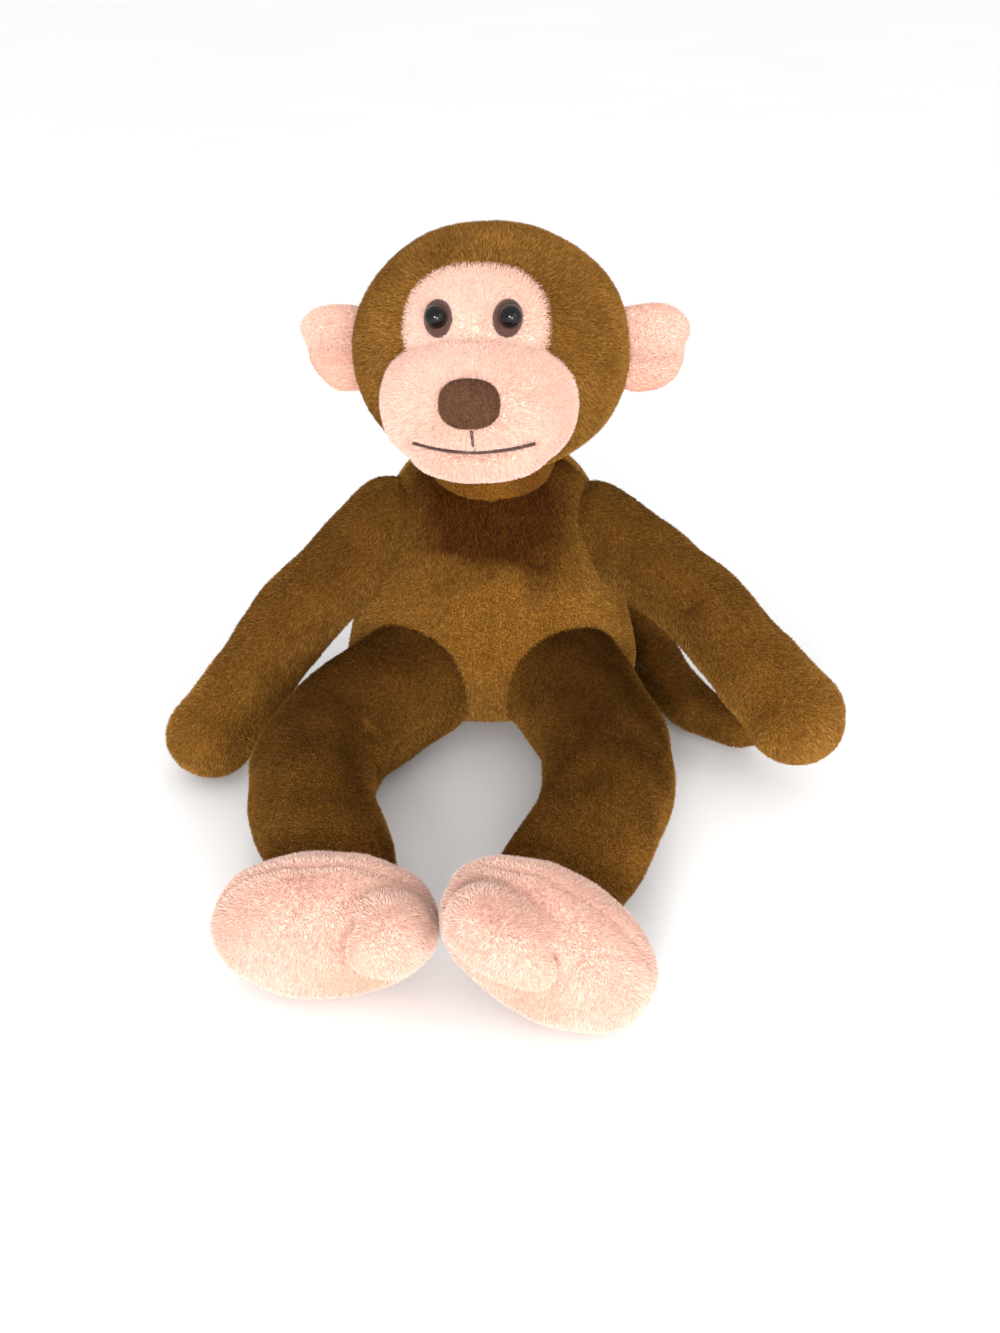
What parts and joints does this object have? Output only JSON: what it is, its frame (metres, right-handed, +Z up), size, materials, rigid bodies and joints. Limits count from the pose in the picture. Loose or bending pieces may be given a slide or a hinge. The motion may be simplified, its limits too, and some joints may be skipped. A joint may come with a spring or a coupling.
{
  "type": "stuffed toy monkey",
  "caption": "Brown plush monkey sitting with legs out: pink face, ears and feet, black bead eyes, jointed limbs, head, ears and tail.",
  "frame": {"origin": "middle of the flat seat, on the floor", "axes": "+Z up; the monkey faces -Y and its own left is +X"},
  "size_m": [0.2515, 0.2713, 0.192],
  "materials": {
    "brown_plush": "short-pile plush",
    "pink_plush": "short woolly plush",
    "stuffing": "loose fibre",
    "pellets": "plastic pellets",
    "washer_plastic": "matte",
    "eye_black": "gloss",
    "eye_felt": "felt",
    "nose_flock": "short fuzzy pile",
    "mouth_thread": "embroidery thread",
    "sewing_thread": "sewing thread"
  },
  "bodies": {
    "torso": {"torso_front_left_panel": "brown_plush", "torso_back_left_panel": "brown_plush", "torso_stuffing_left": "stuffing", "torso_front_right_panel": "brown_plush", "torso_back_right_panel": "brown_plush", "torso_stuffing_right": "stuffing", "torso_pellet_bag": "pellets", "back_closing_stitches": "sewing_thread"},
    "neck": {"neck_cloth": "brown_plush", "neck_stuffing": "stuffing"},
    "head": {"head_front_panel": "brown_plush", "head_back_panel": "brown_plush", "head_stuffing": "stuffing", "face_panel": "pink_plush", "muzzle_panel": "pink_plush", "chin_panel": "pink_plush", "muzzle_stuffing": "stuffing", "nose": "nose_flock", "nose_washer": "washer_plastic", "mouth_thread": "mouth_thread", "eye_ring_left": "eye_felt", "eye_left": "eye_black", "eye_washer_left": "washer_plastic", "eye_ring_right": "eye_felt", "eye_right": "eye_black", "eye_washer_right": "washer_plastic"},
    "tail": {"tail_cloth": "brown_plush", "tail_stuffing": "stuffing"},
    "ear_left": {"ear_front_left": "pink_plush", "ear_back_left": "pink_plush"},
    "upper_arm_left": {"upper_arm_left_cloth": "brown_plush", "upper_arm_left_stuffing": "stuffing"},
    "forearm_left": {"forearm_left_cloth": "brown_plush", "forearm_left_stuffing": "stuffing"},
    "thigh_left": {"thigh_left_cloth": "brown_plush", "thigh_left_stuffing": "stuffing"},
    "shin_left": {"shin_left_cloth": "brown_plush", "shin_left_stuffing": "stuffing"},
    "foot_left": {"foot_left_sole_panel": "pink_plush", "foot_left_upper_panel": "pink_plush", "foot_left_pellets": "pellets", "big_toe_left": "pink_plush"},
    "ear_right": {"ear_front_right": "pink_plush", "ear_back_right": "pink_plush"},
    "upper_arm_right": {"upper_arm_right_cloth": "brown_plush", "upper_arm_right_stuffing": "stuffing"},
    "forearm_right": {"forearm_right_cloth": "brown_plush", "forearm_right_stuffing": "stuffing"},
    "thigh_right": {"thigh_right_cloth": "brown_plush", "thigh_right_stuffing": "stuffing"},
    "shin_right": {"shin_right_cloth": "brown_plush", "shin_right_stuffing": "stuffing"},
    "foot_right": {"foot_right_sole_panel": "pink_plush", "foot_right_upper_panel": "pink_plush", "foot_right_pellets": "pellets", "big_toe_right": "pink_plush"}
  },
  "joints": [
    {"name": "neck_turn", "type": "hinge", "parent": "torso", "child": "neck", "pos_m": [0, 0.015, 0.098], "axis": [0, 0, 1], "range_deg": [-35, 35]},
    {"name": "head_nod", "type": "hinge", "parent": "neck", "child": "head", "pos_m": [0, 0.015, 0.098], "axis": [0.9925, -0.1219, 0], "range_deg": [-12, 9]},
    {"name": "ear_fold_left", "type": "hinge", "parent": "head", "child": "ear_left", "pos_m": [0.04964, 0.01392, 0.14735], "axis": [0.0142, -0.2282, -0.9735], "range_deg": [-10, 28], "stiffness_Nm_per_rad": 0.0006},
    {"name": "ear_fold_right", "type": "hinge", "parent": "head", "child": "ear_right", "pos_m": [-0.04806, 0.02499, 0.14334], "axis": [-0.0142, 0.2282, 0.9735], "range_deg": [-10, 28], "stiffness_Nm_per_rad": 0.0006},
    {"name": "shoulder_left", "type": "hinge", "parent": "torso", "child": "upper_arm_left", "pos_m": [0.044, 0.01, 0.079], "axis": [-1, 0, 0], "range_deg": [0, 85]},
    {"name": "elbow_left", "type": "hinge", "parent": "upper_arm_left", "child": "forearm_left", "pos_m": [0.08, -0.024, 0.056], "axis": [-1, 0, 0], "range_deg": [0, 22]},
    {"name": "hip_left", "type": "hinge", "parent": "torso", "child": "thigh_left", "pos_m": [0.028, -0.032, 0.024], "axis": [-1, 0, 0], "range_deg": [0, 20]},
    {"name": "knee_left", "type": "hinge", "parent": "thigh_left", "child": "shin_left", "pos_m": [0.046, -0.084, 0.0225], "axis": [0, 0, 1], "range_deg": [0, 25]},
    {"name": "ankle_left", "type": "hinge", "parent": "shin_left", "child": "foot_left", "pos_m": [0.02, -0.145, 0.021], "axis": [-1, 0, 0], "range_deg": [-15, 25]},
    {"name": "shoulder_right", "type": "hinge", "parent": "torso", "child": "upper_arm_right", "pos_m": [-0.042, 0.01, 0.079], "axis": [-1, 0, 0], "range_deg": [0, 85]},
    {"name": "elbow_right", "type": "hinge", "parent": "upper_arm_right", "child": "forearm_right", "pos_m": [-0.076, -0.02, 0.048], "axis": [-1, 0, 0], "range_deg": [0, 22]},
    {"name": "hip_right", "type": "hinge", "parent": "torso", "child": "thigh_right", "pos_m": [-0.028, -0.032, 0.024], "axis": [-1, 0, 0], "range_deg": [0, 20]},
    {"name": "knee_right", "type": "hinge", "parent": "thigh_right", "child": "shin_right", "pos_m": [-0.062, -0.074, 0.0225], "axis": [0, 0, -1], "range_deg": [0, 25]},
    {"name": "ankle_right", "type": "hinge", "parent": "shin_right", "child": "foot_right", "pos_m": [-0.051, -0.133, 0.021], "axis": [-1, 0, 0], "range_deg": [-15, 25]},
    {"name": "tail_swing", "type": "hinge", "parent": "torso", "child": "tail", "pos_m": [0.014, 0.0484, 0.013], "axis": [0, 0, 1], "range_deg": [0, 70]}
  ]
}
